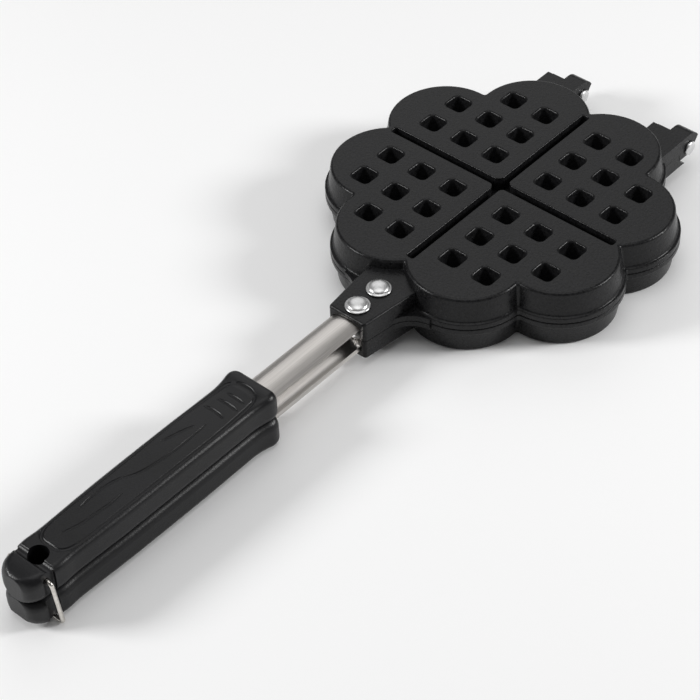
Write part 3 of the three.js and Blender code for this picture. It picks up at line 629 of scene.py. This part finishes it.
def hinge_half(middle, with_knuckle):
    """The arm with its knuckle on the low side, or the block hollowed for the other half's knuckle."""
    bm = bmesh.new()
    split = SEAT_GAP / 2 + 3 * NUDGE
    r = KNUCKLE_RADIUS
    root = ARM_ROOT - HINGE_AXIS
    if with_knuckle:
        tip = math.acos(KNUCKLE_BEVEL / r) - KNUCKLE_TURN
        trim = math.asin(KNUCKLE_TRIM / r)
        outer = (KNUCKLE_BEVEL - KNUCKLE_TRIM * math.sin(KNUCKLE_TURN)) / math.cos(KNUCKLE_TURN)
        outline = [(root, split)] + arc_points(r, math.pi, math.pi + trim, 6) + [(outer, -KNUCKLE_TRIM)]
        outline += arc_points(r, tip, math.pi / 2, 12) + [(root, r)]
        low, high = middle - HINGE_WIDTH / 2, middle - split
    else:
        relief = r + SEAT_GAP
        end = math.asin(r / relief) * HOLLOW_SHARE
        outline = [(root, split)] + arc_points(relief, math.pi, math.pi - end, 16)
        outline += [(root, relief * math.sin(end))]
        low, high = middle - split, middle + HINGE_WIDTH / 2
    prism(bm, [(HINGE_AXIS + x, low, z) for x, z in outline], (0, high - low, 0))
    closed(bm)
    bm.normal_update()
    outer_side = low if with_knuckle else high
    rim = [e for e in bm.edges if all(abs(v.co.y - outer_side) < NEAR for v in e.verts)
           and max(v.co.z for v in e.verts) > KNUCKLE_RADIUS * 0.8]
    crossing = [e for e in bm.edges if abs(e.verts[0].co.y - e.verts[1].co.y) > 1]
    rim += [e for e in crossing if e.calc_face_angle(0) > 0.6
            and e.verts[0].co.x > ARM_ROOT + 1 and e.verts[0].co.z > split + 1]
    rounded(bm, rim, HINGE_ROUND, 3)
    closed(bm)
    return as_object(bm, "hinge half")


def cylinder(radius, low, high, place, axis, segments=48):
    bm = bmesh.new()
    bmesh.ops.create_cone(bm, cap_ends=True, segments=segments, radius1=radius, radius2=radius,
                          depth=high - low)
    bmesh.ops.translate(bm, verts=bm.verts, vec=(0, 0, (low + high) / 2))
    if axis == "Y":
        bmesh.ops.rotate(bm, verts=bm.verts, cent=(0, 0, 0), matrix=Matrix.Rotation(-math.pi / 2, 3, "X"))
    bmesh.ops.translate(bm, verts=bm.verts, vec=place)
    return as_object(bm, "cylinder")


def plate_casting():
    solid = plate_body()
    cut(solid, gusset(), "UNION")
    for middle in (HINGE_OFFSET, -HINGE_OFFSET):
        cut(solid, hinge_half(middle, True), "UNION")
        cut(solid, hinge_half(middle, False), "UNION")
    cut(solid, cavity())
    cut(solid, neck(), "UNION")
    cut(solid, strip_room(-NECK_FRONT - OVERCUT, -STRIP_FRONT + SEAT_GAP))
    for tool in (pits(), groove(False), groove(True), heart_tips()):
        cut(solid, tool)
    axis = (HINGE_AXIS, 0, 0)
    for middle in (HINGE_OFFSET, -HINGE_OFFSET):
        low = middle - HINGE_WIDTH
        cut(solid, cylinder(PIN_RADIUS + SEAT_GAP, low, low + 2 * HINGE_WIDTH, axis, "Y"))
        low = middle - SEAT_GAP / 2
        cut(solid, cylinder(KNUCKLE_RADIUS + SEAT_GAP, low, low + HINGE_WIDTH, axis, "Y", 96))
    for place in RIVETS:
        cut(solid, cylinder(RIVET_SHANK + SEAT_GAP, 0, NECK_HEIGHT + OVERCUT, (-place, 0, 0), "Z"))
    return solid


# Handle strip

def handle_strip():
    bm = bmesh.new()
    section = strip_outline(-STRIP_BACK, STRIP_CROWN, STRIP_WIDTH / 2, STRIP_THICK)
    prism(bm, section, (STRIP_BACK - STRIP_FRONT, 0, 0))
    closed(bm)
    solid = as_object(bm, "strip")
    for places, radius in ((RIVETS, RIVET_SHANK + SEAT_GAP), (SCREWS, SCREW_HOLE)):
        for place in places:
            cut(solid, cylinder(radius, 0, PLATE_HEIGHT, (-place, 0, 0), "Z"))
    return solid


# Turned fasteners

def turned(points, steps=48):
    """Spins a side profile of (radius, height) about the upright axis."""
    bm = bmesh.new()
    verts = [bm.verts.new((r, 0, z)) for r, z in points]
    edges = [bm.edges.new(pair) for pair in zip(verts, verts[1:])]
    bmesh.ops.spin(bm, geom=verts + edges, cent=(0, 0, 0), axis=Z_AXIS, angle=2 * math.pi, steps=steps,
                   use_merge=True)
    closed(bm)
    return as_object(bm, "turned")


def dome(radius, height, base, skirt=0.25, steps=8):
    """Half the outline of a domed head, whose straight skirt takes a share of its height."""
    return [(radius * math.cos(a), base + height * (skirt + (1 - skirt) * math.sin(a)))
            for a in round_steps(steps)]


def rivet():
    """A rivet with a raised rim around its crowned head, and its tail upset under the strip."""
    tail, tail_height = RIVET_TAIL
    drop = STRIP_RADIUS - math.sqrt(STRIP_RADIUS**2 - tail**2)
    underside = STRIP_CROWN - STRIP_THICK - drop - SEAT_GAP
    foot = underside - tail_height
    seat = NECK_HEIGHT + SEAT_GAP
    radius, height = RIVET_HEAD
    profile = [(0, foot), (tail * 0.8, foot), (tail, foot + tail_height / 2), (tail, underside),
               (RIVET_SHANK, underside), (RIVET_SHANK, seat), (radius - 0.15, seat), (radius, seat + 0.15)]
    brim = RIVET_BRIM
    profile += [(radius, seat + brim - 0.2), (radius - 0.2, seat + brim),
                (radius - 0.55, seat + brim + 0.02)]
    crown = [(RIVET_CROWN * radius * math.cos(a), seat + brim + (height - brim) * (0.1 + 0.9 * math.sin(a)))
             for a in round_steps(10)]
    profile += crown[:-1] + [(0, crown[-1][1])]
    return turned(profile)


def hinge_pin():
    half = HINGE_WIDTH / 2 + SEAT_GAP
    head = [(r, -z) for r, z in reversed(dome(*PIN_HEAD, half))]
    peen = dome(*PIN_PEEN, half)
    head[0] = (0, head[0][1])
    peen[-1] = (0, peen[-1][1])
    shank = [(PIN_HEAD[0], -half), (PIN_RADIUS, -half), (PIN_RADIUS, half), (PIN_PEEN[0], half)]
    return turned(head + shank + peen)


# Grips

def grip_at(share):
    """Half width and height of the grip at a share of its length, smooth through the stations."""
    stations = GRIP_SHARES
    i = max(k for k in range(len(stations) - 1) if stations[k][0] <= share + 1e-9)
    x0, x1 = stations[i][0], stations[i + 1][0]
    t = (share - x0) / (x1 - x0)
    values = []
    for k in (1, 2):
        def slope(j):
            j0, j1 = max(j - 1, 0), min(j + 1, len(stations) - 1)
            return (stations[j1][k] - stations[j0][k]) / (stations[j1][0] - stations[j0][0])
        a, b = stations[i][k], stations[i + 1][k]
        m0, m1 = slope(i) * (x1 - x0), slope(i + 1) * (x1 - x0)
        values.append((2 * t**3 - 3 * t**2 + 1) * a + (t**3 - 2 * t**2 + t) * m0
                      + (3 * t**2 - 2 * t**3) * b + (t**3 - t**2) * m1)
    return values[0] * GRIP_HALF, values[1] * GRIP_HEIGHT


def grip_place(place):
    """Half width and height of the grip at a distance from the plate's centre."""
    return grip_at((place - GRIP_FRONT) / GRIP_LENGTH)


def grip_blank():
    """Joins cross-sections with rounded corners, close together where the grip's outline turns."""
    bm = bmesh.new()
    shares = [0, 0.002, 0.004, 0.007, 0.01, 0.014, 0.02, 0.027, 0.035, 0.044, 0.053, 0.062, 0.072,
              0.082, 0.1, 0.12, 0.145]
    shares += [0.17 + 0.66 * i / 22 for i in range(23)]
    shares += [0.84, 0.85, 0.86, 0.87, 0.88, 0.89, 0.9, 0.91, 0.92, 0.93, 0.94, 0.95, 0.958, 0.966, 0.974]
    shares += [0.98, 0.985, 0.989, 0.992, 0.9945, 0.9965, 0.998, 0.999, 0.9995, 1]
    foot = SEAT_GAP / 2
    loops = []
    for share in shares:
        half, height = grip_at(share)
        x = -GRIP_FRONT - share * GRIP_LENGTH
        before = set(bm.verts)
        eased = max(0.0, (share - END_ROUND_FROM) / (1 - END_ROUND_FROM)) ** 1.5
        outer = min(GRIP_OUTER_ROUND + (END_ROUND - GRIP_OUTER_ROUND) * eased, GRIP_ROUND_LIMIT * half)
        inner = min(GRIP_INNER_ROUND, GRIP_ROUND_LIMIT * half)
        corners = ((half, height, outer), (-half, height, outer), (-half, foot, inner), (half, foot, inner))
        for turn, (y, z, radius) in enumerate(corners):
            cy = y - math.copysign(radius, y)
            cz = z - radius if z > foot else z + radius
            for i in range(8):
                a = (turn + i / 7) * math.pi / 2
                bm.verts.new((x, cy + radius * math.cos(a), cz + radius * math.sin(a)))
        ring = [v for v in bm.verts if v not in before]
        loops.append([bm.edges.new(pair) for pair in zip(ring, ring[1:] + ring[:1])])
    bridged(bm, loops)
    return as_object(bm, "grip blank")


def grip_common():
    """What both grips share: the room for the strip, the moulded lines, the hanging hole and inserts."""
    solid = grip_blank()
    cut(solid, strip_room(-STRIP_BACK - SEAT_GAP, -GRIP_FRONT + OVERCUT))
    moulded_lines(solid)
    place, radius = HANG_HOLE
    cut(solid, cylinder(radius, -OVERCUT, PLATE_HEIGHT + OVERCUT, (-place, 0, 0), "Z"))
    radius, height = INSERT_ROOM
    for place in SCREWS:
        cut(solid, cylinder(radius, STRIP_CROWN, STRIP_CROWN + height, (-place, 0, 0), "Z"))
    return solid


def wire_channels(solid):
    """A shallow channel in each side of the end, in which the bail's legs lie."""
    front, length, depth = WIRE_CHANNEL
    floor = grip_place(front)[0] - depth
    deep = 10
    for side in (1, -1):
        bm = bmesh.new()
        made = bmesh.ops.create_cube(bm, size=1)["verts"]
        bmesh.ops.scale(bm, verts=made, vec=(length, deep, 2 * PLATE_HEIGHT + OVERCUT))
        middle = (-front - length / 2, side * (floor + deep / 2), PLATE_HEIGHT)
        bmesh.ops.translate(bm, verts=made, vec=middle)
        upright = [e for e in bm.edges if abs(e.verts[0].co.z - e.verts[1].co.z) > 1
                   and side * e.verts[0].co.y < floor + 1]
        rounded(bm, upright, WIRE_CHANNEL_ROUND, 3)
        cut(solid, as_object(bm, "channel"))
    return solid


def saddle():
    """A round-bottomed trough across the grip, whose lips roll over into the broad face."""
    place, radius, depth = SADDLE
    top = grip_place(place)[1] + SADDLE_LIFT
    lip = SADDLE_LIP
    rise = radius - depth + lip
    reach = math.sqrt((radius + lip) ** 2 - rise**2)
    meet = math.atan2(rise, reach)
    bottom = arc_points(radius, math.pi + meet, 2 * math.pi - meet, 20)
    left = arc_points(lip, math.pi / 2, meet, 8)
    right = arc_points(lip, math.pi - meet, math.pi / 2, 8)
    outline = [(-reach, top + OVERCUT)] + [(x - reach, z + top - lip) for x, z in left]
    outline += [(x, z + top - depth + radius) for x, z in bottom[1:-1]]
    outline += [(x + reach, z + top - lip) for x, z in right] + [(reach, top + OVERCUT)]
    bm = bmesh.new()
    prism(bm, [(x - place, -THROUGH, z) for x, z in outline], (0, 2 * THROUGH, 0))
    closed(bm)
    return as_object(bm, "saddle")


def upper_grip():
    solid = wire_channels(grip_common())
    cut(solid, saddle())
    for side in (1, -1):
        low, high = sorted((side * (BAIL_STUB_END - SEAT_GAP), side * THROUGH))
        cut(solid, cylinder(WIRE + SEAT_GAP, low, high, (-BAIL_PIVOT[0], 0, BAIL_PIVOT[2]), "Y", 24))
    return solid


def lower_grip():
    """The lower grip's end is cut back in an arc about the bail's pivot, and the bar catches under it."""
    solid = grip_common()
    reach = math.hypot(BAIL_PIVOT[0] - BAIL_BAR[0], BAIL_PIVOT[2] - BAIL_BAR[2])
    swing = reach - WIRE - SEAT_GAP
    length = GRIP_BACK - CATCH + OVERCUT
    bm = bmesh.new()
    made = bmesh.ops.create_cube(bm, size=1)["verts"]
    bmesh.ops.scale(bm, verts=made, vec=(length, 1.5 * THROUGH, 2 * PLATE_HEIGHT))
    bmesh.ops.translate(bm, verts=made, vec=(-CATCH - length / 2, 0, PLATE_HEIGHT))
    block = as_object(bm, "block")
    axis = (-BAIL_PIVOT[0], 0, -BAIL_PIVOT[2])
    cut(block, cylinder(swing, -THROUGH, THROUGH, axis, "Y", 128))
    return wire_channels(cut(solid, block))


# Wire bail

def tube(points, radii, name, closed_line=False, sides=16):
    """A round rod along points, with its own radius at each."""
    curve = bpy.data.curves.new(name, "CURVE")
    curve.dimensions = "3D"
    curve.bevel_depth = 1.0
    curve.bevel_resolution = sides // 4 - 1
    curve.use_fill_caps = not closed_line
    spline = curve.splines.new("POLY")
    spline.points.add(len(points) - 1)
    spline.use_cyclic_u = closed_line
    for point, place, radius in zip(spline.points, points, radii):
        point.co = (*place, 1)
        point.radius = radius
    holder = bpy.data.objects.new(name, curve)
    bpy.context.scene.collection.objects.link(holder)
    bpy.context.view_layer.update()
    mesh = bpy.data.meshes.new_from_object(holder.evaluated_get(bpy.context.evaluated_depsgraph_get()))
    bpy.data.objects.remove(holder)
    bm = bmesh.new()
    bm.from_mesh(mesh)
    closed(bm)
    return as_object(bm, name)


def bail():
    """Two stubs, two legs and a bar in one wire, with an easy bend at each corner."""
    px, py, pz = BAIL_PIVOT
    bx, by, bz = BAIL_BAR
    side = [(-px, BAIL_STUB_END, pz), (-px, py, pz), (-bx, by, bz)]
    corners = [Vector(c) for c in side] + [Vector((x, -y, z)) for x, y, z in side[::-1]]
    points = [corners[0]]
    for before, corner, after in zip(corners, corners[1:], corners[2:]):
        a = corner + (before - corner).normalized() * BAIL_BEND
        b = corner + (after - corner).normalized() * BAIL_BEND
        points += [a.lerp(corner, t).lerp(corner.lerp(b, t), t) for t in (i / 8 for i in range(9))]
    points.append(corners[-1])
    return tube(points, [WIRE] * len(points), "bail", sides=24)


# Lines moulded into the grips' broad faces

def smooth_line(points, closed_line, steps=10):
    """A flowing line through the points."""
    count = len(points)
    line = []
    for i in range(count if closed_line else count - 1):
        near = []
        for k in (-1, 0, 1, 2):
            j = (i + k) % count if closed_line else min(max(i + k, 0), count - 1)
            near.append(Vector(points[j]))
        p0, p1, p2, p3 = near
        for n in range(steps):
            t = n / steps
            line.append(0.5 * (2 * p1 + (p2 - p0) * t + (2 * p0 - 5 * p1 + 4 * p2 - p3) * t**2
                               + (3 * p1 - p0 - 3 * p2 + p3) * t**3))
    if not closed_line:
        line.append(Vector(points[-1]))
    return line


def carve(solid, points, groove, closed_line=False):
    """Cuts a soft groove along a line on the broad face; an open line fades out at both ends."""
    width, depth = groove
    radius = (width**2 / 4 + depth**2) / 2 / depth
    line = smooth_line([(x, y, 0) for x, y in points], closed_line)
    places = []
    radii = []
    for i, point in enumerate(line):
        fade = 1.0 if closed_line else min(1.0, 0.35 + 2.6 * min(i, len(line) - 1 - i) / len(line))
        places.append((point.x, point.y, grip_place(-point.x)[1] + (radius - depth)))
        radii.append(radius if closed_line else radius - depth + depth * fade)
    cut(solid, tube(places, radii, "groove line", closed_line))


def moulded_lines(solid):
    around = list(PANEL_SIDE) + [(x, -y) for x, y in reversed(PANEL_SIDE)]
    carve(solid, around, PANEL_GROOVE, closed_line=True)
    carve(solid, LIP_HOLLOW, LIP_GROOVE)
    for line in THUMB_LINES:
        carve(solid, line, THUMB_GROOVE)
    for line in WAVE_LINES:
        carve(solid, line, WAVE_GROOVE)


# Finishes

def linear(hex_colour):
    """Turns an sRGB hex colour into linear light."""
    shares = [int(hex_colour[i:i + 2], 16) / 255 for i in (1, 3, 5)]
    return [s / 12.92 if s <= 0.04045 else ((s + 0.055) / 1.055) ** 2.4 for s in shares] + [1]


def add_node(tree, kind, settings=None, links=None):
    """Adds a node, sets its fields and sockets, and joins its inputs; a socket has a name or a number."""
    node = tree.nodes.new(kind)
    for key, value in (settings or {}).items():
        if isinstance(key, str) and hasattr(node, key):
            setattr(node, key, value)
        else:
            node.inputs[key].default_value = value
    for key, output in (links or {}).items():
        tree.links.new(output, node.inputs[key])
    return node


def new_material(name):
    material = bpy.data.materials.new(name)
    material.use_nodes = True
    tree = material.node_tree
    tree.nodes.clear()
    return material, tree


def finish(name, tones, roughness, grain, noise, relief, shading, patches=None):
    """A finish whose grain, sized in mm along each axis, varies its tone, its roughness and its relief.

    Where patches are given, in mm, the tone wanders in patches of that size and not with the grain.
    """
    material, tree = new_material(name)
    place = add_node(tree, "ShaderNodeTexCoord").outputs["Object"]
    fitted = add_node(tree, "ShaderNodeMapping", {"Scale": [1 / (size * MM) for size in grain]},
                      {"Vector": place})
    texture = add_node(tree, "ShaderNodeTexNoise", {"Scale": 1.0, **noise},
                       {"Vector": fitted.outputs["Vector"]})
    height = texture.outputs["Fac"]
    tone = height
    if patches:
        cloud = add_node(tree, "ShaderNodeTexNoise", {"Scale": 1 / (patches * MM)}, {"Vector": place})
        tone = cloud.outputs["Fac"]
    share = add_node(tree, "ShaderNodeMapRange", {"From Min": 0.3, "From Max": 0.7}, {"Value": tone})
    colour = add_node(tree, "ShaderNodeMix", {"data_type": "RGBA", 6: linear(tones[0]), 7: linear(tones[1])},
                      {0: share.outputs["Result"]})
    rough = add_node(tree, "ShaderNodeMapRange", {"To Min": roughness[0], "To Max": roughness[1]},
                     {"Value": height})
    bump = add_node(tree, "ShaderNodeBump", {"Strength": relief[0], "Distance": relief[1] * MM},
                    {"Height": height})
    shader = add_node(tree, "ShaderNodeBsdfPrincipled", shading,
                      {"Base Color": colour.outputs[2], "Roughness": rough.outputs["Result"],
                       "Normal": bump.outputs["Normal"]})
    add_node(tree, "ShaderNodeOutputMaterial", links={"Surface": shader.outputs["BSDF"]})
    return material


METAL = {"Metallic": 1.0}
BRUSH_NOISE = {"Detail": 4, "Roughness": 0.6}

# PTFE non-stick coat, sprayed on a pressure die casting and baked: near black and satin, with a fine
# orange peel that breaks highlights on edges into specks. The real grain is about 0.2 mm and would not
# show, so it is drawn at 1.1 mm.
COAT = finish("non_stick_coat_on_cast_aluminium", ("#101011", "#1f1f20"), (0.2, 0.4), (1.1, 1.1, 1.1),
              {"Detail": 2}, (1.0, 0.11), {"IOR": 1.38, "Specular IOR Level": 0.33})
# Phenolic, compression moulded in a steel mould: black and half matt, a little smoother than the coat,
# with a cloudy tone where the filler lies. Its grain of about 0.1 mm is drawn at 0.7 mm to show.
PHENOLIC = finish("moulded_black_phenolic", ("#0c0c0d", "#131315"), (0.3, 0.4), (0.7, 0.7, 0.7),
                  {"Detail": 3}, (0.8, 0.09), {"IOR": 1.5, "Specular IOR Level": 0.31}, patches=25)
# Stainless steel strip, brushed lengthwise with a fine belt: a warm silver with streaks along it. The
# scratches are about 0.05 mm apart and are drawn 0.56 mm apart, and 40 mm long as the real ones are.
BRUSHED = finish("brushed_stainless_strip", ("#c1bdb9", "#d5d1cd"), (0.26, 0.33), (40, 5 / 9, 5 / 9),
                 BRUSH_NOISE, (0.2, 0.006), METAL)
# Plated steel, tumbled bright: rivets and pins with a soft mirror and hardly any grain. Its dents are
# 2.5 mm wide, as tumbling leaves them.
POLISHED = finish("tumbled_bright_steel", ("#cfcfcf", "#e6e6e6"), (0.31, 0.39), (2.5, 2.5, 2.5),
                  BRUSH_NOISE, (0.2, 0.001), METAL)
# Hard-drawn steel wire: bright and slightly warm, with the unevenness that the die leaves every 1.7 mm.
WIRE_STEEL = finish("drawn_steel_wire", ("#c4c0ba", "#dedad4"), (0.16, 0.28), (5 / 3, 5 / 3, 5 / 3),
                    BRUSH_NOISE, (0.2, 0.004), METAL)
# Turned brass of the threaded inserts: yellow and finely ribbed by the tool. The ribs are about 0.1 mm
# apart and are drawn at 0.83 mm.
BRASS = finish("turned_brass", ("#a8874a", "#bf9d5c"), (0.28, 0.38), (5 / 6, 5 / 6, 5 / 6), BRUSH_NOISE,
               (0.2, 0.01), METAL)


# Pieces

casting = plate_casting()
strip = handle_strip()
rivet_blank = rivet()
pin_blank = hinge_pin()
for side, place, own_grip in (("upper", UPPER, upper_grip()), ("lower", LOWER, lower_grip())):
    body = f"{side}_half"
    finished(casting, f"{side}_casting", place, body, [f"{side}_plate"], COAT)
    finished(strip, f"{side}_strip", place, body, [f"{side}_handle_strip"], BRUSHED)
    finished(own_grip, f"{side}_grip_moulding", place, body, [f"{side}_grip"], PHENOLIC, 50)
    for i, spot in enumerate(RIVETS, 1):
        at = place @ Matrix.Translation((-spot, 0, 0))
        finished(rivet_blank, f"{side}_rivet_{i}", at, body, [f"{side}_neck_rivet_{i}"],
                 POLISHED, 50)
for name, middle in (("left", HINGE_OFFSET), ("right", -HINGE_OFFSET)):
    at = UPPER @ Matrix.Translation((HINGE_AXIS, middle, 0)) @ Matrix.Rotation(-math.pi / 2, 4, "X")
    finished(pin_blank, f"{name}_pin", at, "lower_half", [f"{name}_hinge_pin"], POLISHED, 50)
finished(bail(), "bail_wire", UPPER, "bail", ["wire_bail"], WIRE_STEEL, 60)

# The nodes that stay, the grip screws and inserts, and any that a piece doesn't stand in for
for name, node in frame["nodes"].items():
    look = PHENOLIC
    if "insert" in name:
        look = BRASS
    elif any(word in name for word in ("screw", "rivet", "pin", "bail")):
        look = POLISHED
    elif "strip" in name:
        look = BRUSHED
    elif "plate" in name:
        look = COAT
    node.data.materials.clear()
    node.data.materials.append(look)

for blank in (casting, strip, rivet_blank, pin_blank):
    bpy.data.objects.remove(blank)
for obj in list(bpy.context.scene.objects):
    if obj.type == "MESH" and obj.name not in frame["nodes"] and body_of(obj) is None:
        bpy.data.objects.remove(obj)


# Floor, light and camera, in metres

FLOOR_COLOUR = "#f8f8f8"
FLOOR_HALF = 6
SKY = 0.17
# Name, place, aim, width and power of each round lamp
LAMPS = (
    ("overhead", (0.0, 0.0, 1.5), (0, 0, 0), 1.3, 5.9),
    ("far side", (0.85, 0.8, 0.95), (0.05, 0, 0), 1.2, 3.1),
    ("left side", (-0.8, 0.75, 0.62), (0, 0, 0), 0.36, 8.8),
    ("right side", (0.72, -0.85, 0.6), (0, 0, 0), 0.36, 8.8),
)
# Solved from the pits, grooves and rivets seen in the photo
CAMERA_PLACE = (-0.514309, -0.480267, 0.67659)
CAMERA_TURN = (46.1398, 1.9107, -48.6313)
CAMERA_LENS = 117.905
SENSOR_WIDTH = 36


def stage_floor():
    bm = bmesh.new()
    bmesh.ops.create_grid(bm, x_segments=1, y_segments=1, size=FLOOR_HALF)
    floor = as_object(bm, "floor")
    material, tree = new_material("white_sweep")
    plain = add_node(tree, "ShaderNodeBsdfDiffuse", {"Color": linear(FLOOR_COLOUR)})
    add_node(tree, "ShaderNodeOutputMaterial", links={"Surface": plain.outputs["BSDF"]})
    floor.data.materials.append(material)


def area_light(name, place, target, size, power):
    light = bpy.data.lights.new(name, "AREA")
    light.shape = "DISK"
    light.size = size
    light.energy = power
    lamp = bpy.data.objects.new(name, light)
    lamp.location = place
    lamp.rotation_euler = (Vector(target) - Vector(place)).to_track_quat("-Z", "Y").to_euler()
    bpy.context.scene.collection.objects.link(lamp)


stage_floor()
for lamp in LAMPS:
    area_light(*lamp)

world = bpy.data.worlds.new("studio")
bpy.context.scene.world = world
world.use_nodes = True
world.node_tree.nodes.clear()
sky = add_node(world.node_tree, "ShaderNodeBackground", {"Color": (1, 1, 1, 1), "Strength": SKY})
add_node(world.node_tree, "ShaderNodeOutputWorld", links={"Surface": sky.outputs["Background"]})

camera_data = bpy.data.cameras.new("camera")
camera_data.sensor_width = SENSOR_WIDTH
camera_data.lens = CAMERA_LENS
camera_data.clip_start = 0.05
camera = bpy.data.objects.new("camera", camera_data)
camera.location = CAMERA_PLACE
camera.rotation_euler = [math.radians(a) for a in CAMERA_TURN]
bpy.context.scene.collection.objects.link(camera)
bpy.context.scene.camera = camera
bpy.context.scene.view_settings.view_transform = "Standard"
